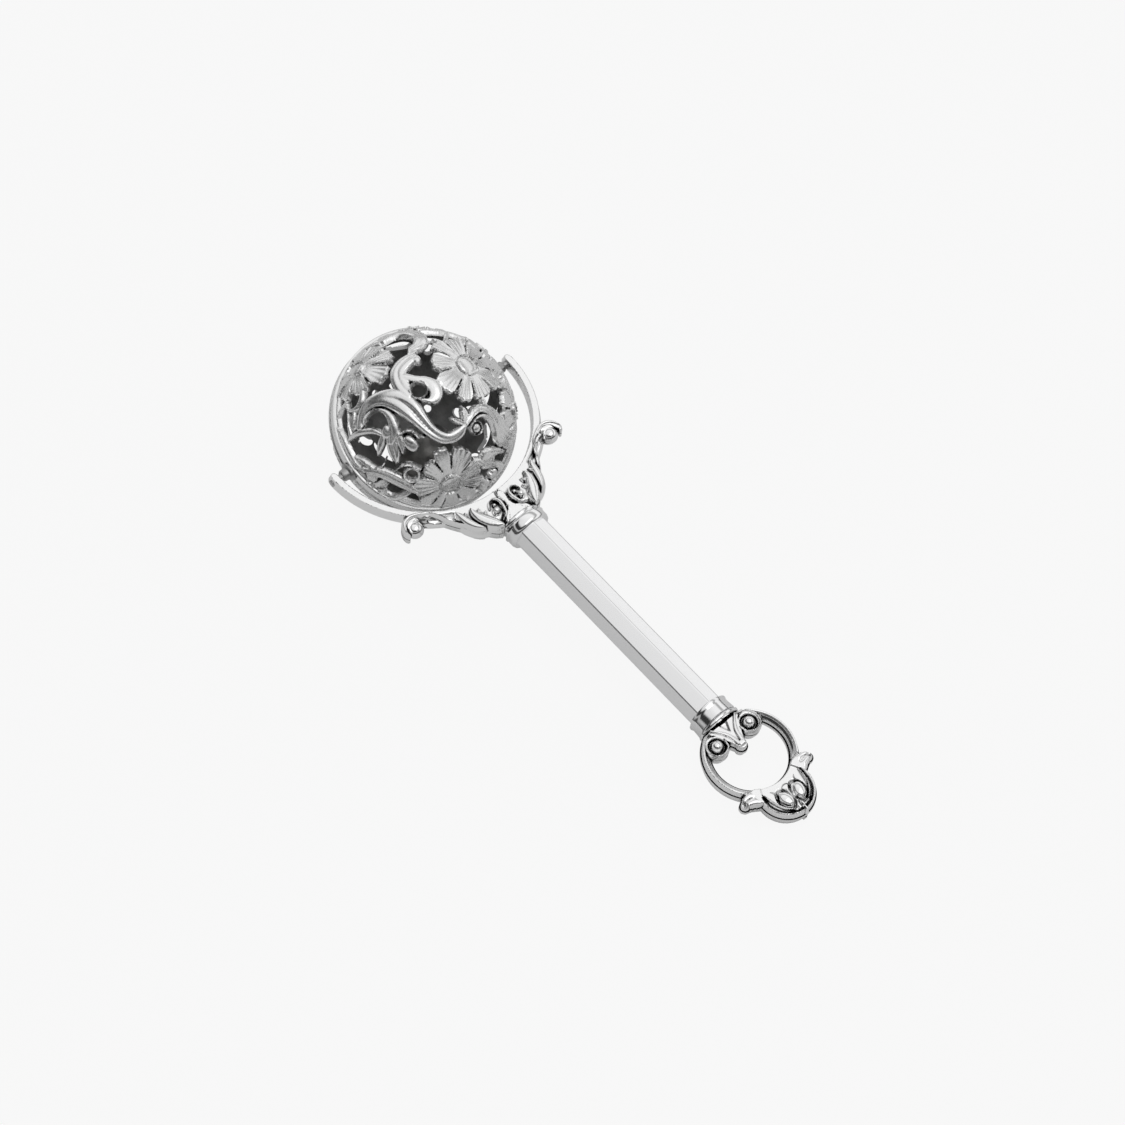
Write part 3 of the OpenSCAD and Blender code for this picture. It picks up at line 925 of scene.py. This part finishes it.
def yoke_leaves(name, side):
    field = relief(yoke_leaf_shapes(), edge=0.2, base=-0.1,
                   limit=lambda x, y: np.hypot(x, y) - YOKE_IN - 0.1)
    points, faces, _ = solid(
        field, (14, -22), (31.2, 22), YOKE_LEAF_GRID, flat_place(YOKE_HALF_T, side),
        lambda height: np.full(height.shape, -1.4), whole=False,
    )
    node = name.replace("acanthus", "yoke_leaves")
    add_mesh(name, points, faces, "handle", [node], [CAST])


def knobs():
    """A ball on a short turned neck at each scroll's end."""
    points, faces = [], []
    for side in (1, -1):
        centre = rattle(KNOB_U, side * KNOB_V, 0)
        out = np.array([0.75 * side, 0.66]) @ np.array([V_AXIS, U_AXIS])
        out /= np.linalg.norm(out)
        profile = [(-2.3, 0.9), (-1.9, 1.0), (-1.65, 0.85), (-1.5, 0.9)]
        profile += [(-KNOB_R * math.cos(a), KNOB_R * math.sin(a)) for a in np.linspace(0.62, 3.0, 30)]
        more, around = lathe(profile, centre, out)
        faces += [tuple(index + sum(map(len, points)) for index in face) for face in around]
        points.append(more)
    add_mesh("scroll_knobs", np.vstack(points), faces, "handle", ["yoke_knobs"],
             [SILVER])


# ---- Collar, handle, ferrule and bead ----


def cushion(half_w, side_h, crown_h, count=22):
    """Flat sides with crowned faces, in V and W, with the corners just eased."""
    arc = [
        (half_w * t, side_h + (crown_h - side_h) * (1 - t * t))
        for t in np.sin(np.linspace(-math.pi / 2, math.pi / 2, count)) * 0.985
    ]
    top = [(-half_w, side_h - 0.12), *arc, (half_w, side_h - 0.12)]
    return top[::-1] + [(v, -w) for v, w in top]


def eased_octagon(across_flats, ease=0.6, steps=8):
    """An octagon with one corner towards W, its corners rounded."""
    radius = across_flats / 2 / math.cos(math.pi / 8)
    points = []
    for corner in range(8):
        middle = math.pi / 4 * corner + math.pi / 2
        for step in np.linspace(-1, 1, steps):
            angle = middle + step * math.pi / 8
            centre = radius - ease / math.cos(math.pi / 8)
            points.append((centre * math.cos(middle) + ease * math.cos(angle),
                           centre * math.sin(middle) + ease * math.sin(angle)))
    return points


def collar():
    lip = [(COLLAR_U, 0.8), (COLLAR_U, 0.88), (COLLAR_U + 0.2, 0.93), (COLLAR_U + 0.5, 0.93),
           (COLLAR_U + 0.75, 0.89), (COLLAR_U + 1.0, 0.94), (COLLAR_U + 1.3, 1.0),
           (COLLAR_U + 1.7, 1.0), (COLLAR_U + 2.1, 0.89), (COLLAR_U + 2.15, 0.8)]
    points, faces = loft(lip, cushion(4.5, 1.7, 3.9))
    add_mesh("collar_lip", points, faces, "handle", ["collar"], [SILVER])
    socket_u = COLLAR_U + 1.7
    socket = [(socket_u, 0.85), (socket_u, 0.98), (socket_u + 0.4, 1.0), (socket_u + 1.4, 1.0),
              (socket_u + 1.85, 0.965), (socket_u + 2.1, 0.9), (socket_u + 2.1, 0.8)]
    points, faces = loft(socket, circle(96) * 4.6)
    add_mesh("collar_socket", points, faces, "handle", [], [SILVER])


def handle_tube():
    stations = [(TUBE_U, 0.9), (TUBE_U, 1.0), *[(u, 1.0) for u in np.linspace(TUBE_U + 1, TUBE_END - 1, 26)],
                (TUBE_END, 1.0), (TUBE_END, 0.9)]
    points, faces = loft(stations, eased_octagon(HANDLE_AF))
    add_mesh("octagon_tube", points, faces, "handle", ["handle_tube"],
             [SILVER], sharp=60)


def ferrule():
    u = FERRULE_U
    stations = [(u, 0.88), (u, 0.95), (u + 0.12, 0.985), (u + 0.4, 1.0), (u + 0.75, 0.985),
                (u + 0.95, 0.955), (u + 1.3, 0.95), (u + 2.4, 0.97), (BEAD_U, 0.985), (BEAD_U, 0.85)]
    points, faces = loft(stations, cushion(4.2, 1.8, 4.4))
    add_mesh("crowned_ferrule", points, faces, "handle", ["handle_ferrule"],
             [SILVER])


def bead():
    middle, half = (BEAD_U + LOOP_TOP_U) / 2, (LOOP_TOP_U - BEAD_U) / 2
    stations = [
        (middle - half * math.cos(a), 0.93 + 0.07 * math.sin(a)) for a in np.linspace(0, math.pi, 13)
    ]
    points, faces = loft([(BEAD_U, 0.8), *stations, (LOOP_TOP_U, 0.8)], cushion(4.6, 1.2, 3.9))
    add_mesh("ferrule_roll", points, faces, "handle", ["ferrule_bead"], [SILVER])


# ---- Loop ----

VOLUTE_U, VOLUTE_V, VOLUTE_R = LOOP_TOP_U + 3.3, 4.15, 2.45
TONGUE_U, TONGUE_R = LOOP_TOP_U + 5.7, 1.4
SHIELD_U, SHIELD_R = LOOP_U + 9.9, 5.95


def loop_plate_field():
    """Ring with a raised outer rim, capital, volutes, tongue, shield and horns."""
    horn = ribbon([(SHIELD_U - 2.1, 5.0, 2.0), (SHIELD_U - 2.6, 6.6, 1.6), (SHIELD_U - 2.7, 7.6, 1.2),
                   (SHIELD_U - 2.5, 8.2, 1.15)], flutes=2, groove=0.4)[0]

    def outline(x, y):
        side = np.abs(y)
        r = np.hypot(x - LOOP_U, side)
        band = np.minimum(LOOP_OUT - r, r - LOOP_IN)
        shield = SHIELD_R - np.hypot(x - SHIELD_U, side)
        horn_depth, horn_height = horn[3](x, side)
        lower = np.minimum(np.maximum(shield, horn_depth), r - LOOP_IN)
        half = 4.2 - 2.85 * np.clip((x - LOOP_TOP_U) / 5.5, 0, 1)
        web = np.minimum(half - side, TONGUE_U - x) * 0.85
        volute = VOLUTE_R - np.hypot(x - VOLUTE_U, side - VOLUTE_V)
        tongue = TONGUE_R - np.hypot(x - TONGUE_U, side)
        upper = np.maximum.reduce([web, volute, tongue])
        depth = np.minimum(np.maximum.reduce([band, lower, upper]), x - LOOP_TOP_U + 0.05)
        moulding = 0.25 * swell((r - 8.95) / 0.55) - 0.8 * np.clip(8.7 - r, 0, 1.3)
        height = LOOP_HALF_T + moulding * (1 - smooth(upper / 0.3)) * (1 - smooth(lower / 0.5))
        border = shield * (x > SHIELD_U - 1.5)
        hollow = 0.6 * swell((border - 1.0) / 0.42) + 0.35 * smooth((shield - 0.8) / 0.4)
        hollow += 0.5 * swell((x - SHIELD_U - 4.3) / 1.1) * swell((side - 1.15) / 0.6)
        hollow += 0.5 * swell((np.hypot(x - SHIELD_U - 1.7, (side - 1.65) * 1.4) - 2.1) / 0.5)
        height += (SHIELD_HALF_T - LOOP_HALF_T + 0.06 * shield - hollow) * smooth(lower / 0.6)
        height += (horn_height - 0.6) * smooth((side - 5.6) / 0.8) * smooth(horn_depth / 0.3)
        socket = VOLUTE_R - 0.5 - np.hypot(x - VOLUTE_U, side - VOLUTE_V)
        height -= 0.8 * smooth(socket / 0.5)
        height -= 0.6 * swell((np.hypot(x - SHIELD_U + 2.3, side - 9.9) - 1.3) / 0.8) * (side > 7)
        height -= 0.4 * smooth((1.3 - side - 0.42 * (x - LOOP_TOP_U)) / 0.6)
        return depth, height

    return relief([(LOOP_U, 0, 100, outline)], edge=0.5, drop=chamfered)


def loop_plate():
    points, faces, _ = solid(
        loop_plate_field(), (LOOP_TOP_U - 1, -11), (SHIELD_U + 7, 11), LOOP_GRID, flat_place(),
        lambda height: -height,
    )
    add_mesh("loop_casting", points, faces, "handle", ["ring_terminal"],
             [CAST], sharp=28)


def shield_leaf_shapes():
    """Two plump ovals under an arch, a ridge round each and a stem between them."""
    oval = dome(SHIELD_U + 1.7, 1.65, 1.95, 1.35, -0.3, height=0.85, base=-0.2)
    ridge = ribbon([(SHIELD_U - 2.1, 4.6, 0.2), (SHIELD_U - 0.3, 4.35, 0.4), (SHIELD_U + 1.3, 4.0, 0.42),
                    (SHIELD_U + 2.9, 3.2, 0.42), (SHIELD_U + 4.3, 1.7, 0.3)], 0.55, crown=0.4)
    brow = ribbon([(SHIELD_U - 1.5, 3.2, 0.2), (SHIELD_U - 0.6, 2.6, 0.35), (SHIELD_U + 0.6, 3.0, 0.3)],
                  0.35)
    shapes = both(oval, ridge, brow)
    shapes += ribbon([(SHIELD_U + 3.3, 0, 0.3), (SHIELD_U + 4.4, 0, 0.42), (SHIELD_U + 5.6, 0, 0.5)], 0.6)
    shapes += ribbon([(SHIELD_U + 0.4, -0.95, 0.2), (SHIELD_U - 0.6, -0.7, 0.27), (SHIELD_U - 0.9, 0, 0.3),
                      (SHIELD_U - 0.6, 0.7, 0.27), (SHIELD_U + 0.4, 0.95, 0.2)], 0.5)
    return shapes


def volute_shapes():
    """A ball in each volute inside its curl, and two ridges that meet in the tongue."""
    drop = SHIELD_HALF_T - LOOP_HALF_T
    curl = ribbon([(LOOP_TOP_U + 0.3, 3.3, 0.4), (LOOP_TOP_U + 0.9, 5.1, 0.4), (VOLUTE_U - 0.6, 6.3, 0.4),
                   (VOLUTE_U + 1.2, 6.0, 0.4), (VOLUTE_U + 2.1, 4.4, 0.42), (VOLUTE_U + 1.4, 2.6, 0.42),
                   (VOLUTE_U - 0.3, 2.1, 0.35)], 0.45 - drop)
    ball = dome(VOLUTE_U, VOLUTE_V, 1.3, height=1.0 - drop, base=-0.8)
    ridge = ribbon([(LOOP_TOP_U + 0.2, 3.1, 0.45), (LOOP_TOP_U + 1.6, 1.9, 0.55),
                    (LOOP_TOP_U + 3.0, 1.0, 0.65), (LOOP_TOP_U + 4.4, 0.65, 0.7),
                    (TONGUE_U, 0.45, 0.75)], 0.45 - drop, crown=0.45)
    tip = dome(TONGUE_U + 0.2, 0, 1.0, height=0.55 - drop, base=0.1)
    return both(curl, ball, ridge) + tip


def shield_leaves(name, side):
    shapes = shield_leaf_shapes() + (volute_shapes() if side > 0 else [])
    field = relief(shapes, edge=0.2, base=-0.6, limit=lambda x, y: np.hypot(x - LOOP_U, y) - 2)
    points, faces, _ = solid(
        field, (LOOP_TOP_U - 1, -8), (SHIELD_U + 7, 8), SHIELD_LEAF_GRID,
        flat_place(SHIELD_HALF_T, side),
        lambda height: np.full(height.shape, -1.2), whole=False,
    )
    node = name.replace("shield_ornament", "terminal_leaves")
    add_mesh(name, points, faces, "handle", [node], [CAST])


# ---- Build ----

OPENWORK = shell_field()
half_shell("openwork_upper", 1, OPENWORK)
half_shell("openwork_lower", -1, lower_shell_field(OPENWORK))
seam_band()
bush("hub_left", -1)
bush("hub_right", 1)
pin("axle_pin_left", -1)
pin("axle_pin_right", 1)
bell_half("jingle_upper", 1, slots=False)
bell_half("jingle_lower", -1, slots=True)
pellet()
yoke_plate()
yoke_leaves("acanthus_front", 1)
yoke_leaves("acanthus_back", -1)
knobs()
collar()
handle_tube()
ferrule()
bead()
loop_plate()
shield_leaves("shield_ornament_front", 1)
shield_leaves("shield_ornament_back", -1)

# ---- Studio ----


def floor():
    mesh = bpy.data.meshes.new("studio_floor")
    half = 3.0
    corners = [(-half, -half, 0), (half, -half, 0), (half, half, 0), (-half, half, 0)]
    mesh.from_pydata(corners, [], [(0, 1, 2, 3)])
    mesh.materials.append(pale_floor())
    plane = bpy.data.objects.new("studio_floor", mesh)
    bpy.context.scene.collection.objects.link(plane)


PALE_SIDE = (-0.45, 0.9, 0)
PALE_SKY = ((0.0, grey(0.04)), (0.06, grey(0.05)), (0.14, grey(0.8)), (0.34, grey(0.95)),
            (0.48, grey(0.92)), (0.58, grey(0.42)), (0.68, grey(0.42)), (0.8, grey(0.95)),
            (1.0, grey(0.95)))
DARK_SKY = ((0.0, grey(0.04)), (0.27, grey(0.08)), (0.34, grey(0.5)), (0.42, grey(0.48)),
            (0.46, grey(0.03)), (0.68, grey(0.03)), (0.78, grey(0.75)), (1.0, grey(0.85)))


def sky():
    """A dome with dark bands that the silver's edges pick up: a faint one in its pale half, deep ones
    in the other, and a soft change between the halves."""
    world = bpy.data.worlds.new("studio")
    bpy.context.scene.world = world
    world.use_nodes = True
    tree = world.node_tree
    background = tree.nodes["Background"]
    direction = tree.nodes.new("ShaderNodeTexCoord").outputs["Generated"]
    split = tree.nodes.new("ShaderNodeSeparateXYZ")
    link(direction, split.inputs[0])
    z = split.outputs["Z"]
    pale = ramp(tree, z, PALE_SKY)
    dark = ramp(tree, z, DARK_SKY)
    tilt = tree.nodes.new("ShaderNodeVectorMath")
    tilt.operation = "DOT_PRODUCT"
    tilt.inputs[1].default_value = PALE_SIDE
    link(direction, tilt.inputs[0])
    side = tree.nodes.new("ShaderNodeMapRange")
    side.inputs["From Min"].default_value, side.inputs["From Max"].default_value = -0.1, 0.3
    link(tilt.outputs["Value"], side.inputs["Value"])
    mix = tree.nodes.new("ShaderNodeMix")
    mix.data_type = "RGBA"
    link(side.outputs["Result"], mix.inputs["Factor"])
    first, second = (socket for socket in mix.inputs if socket.type == "RGBA")
    link(dark, first)
    link(pale, second)
    background.inputs["Strength"].default_value = 1.0
    colour = next(output for output in mix.outputs if output.type == "RGBA")
    link(colour, background.inputs["Color"])


def softbox(name, where, size, power):
    light = bpy.data.lights.new(name, "AREA")
    light.shape = "RECTANGLE"
    light.size, light.size_y = size
    light.energy = power
    lamp = bpy.data.objects.new(name, light)
    bpy.context.scene.collection.objects.link(lamp)
    lamp.location = where
    lamp.rotation_euler = (-Vector(where)).to_track_quat("-Z", "Y").to_euler()


def camera():
    """Looks down on the rattle from its loop side, with its handle running down to the right."""
    right = rattle(0.6592, 0.7479, 0.0788) - ORIGIN
    up = rattle(-0.6769, 0.5444, 0.4954) - ORIGIN
    right, up = right / np.linalg.norm(right), up / np.linalg.norm(up)
    back = np.cross(right, up)
    across, down, distance = 27.9, 28.4, 600
    target = ORIGIN + MM * (across * right - down * up)
    lens = bpy.data.cameras.new("camera")
    lens.sensor_width = 36
    lens.lens = 95.8
    lens.clip_start = 0.05
    eye = bpy.data.objects.new("camera", lens)
    bpy.context.scene.collection.objects.link(eye)
    eye.location = target + MM * distance * back
    eye.rotation_euler = Vector(back).to_track_quat("Z", "Y").to_euler()
    bpy.context.view_layer.update()
    roll = math.atan2(up @ np.array(eye.matrix_world.col[0][:3]), up @ np.array(eye.matrix_world.col[1][:3]))
    eye.rotation_euler.rotate_axis("Z", -roll)
    bpy.context.scene.camera = eye


bpy.context.scene.view_settings.view_transform = "Standard"
floor()
sky()
softbox("key_light", where=(0.5, 0.1, 0.8), size=(0.8, 0.8), power=1.2)
camera()

bpy.context.view_layer.update()
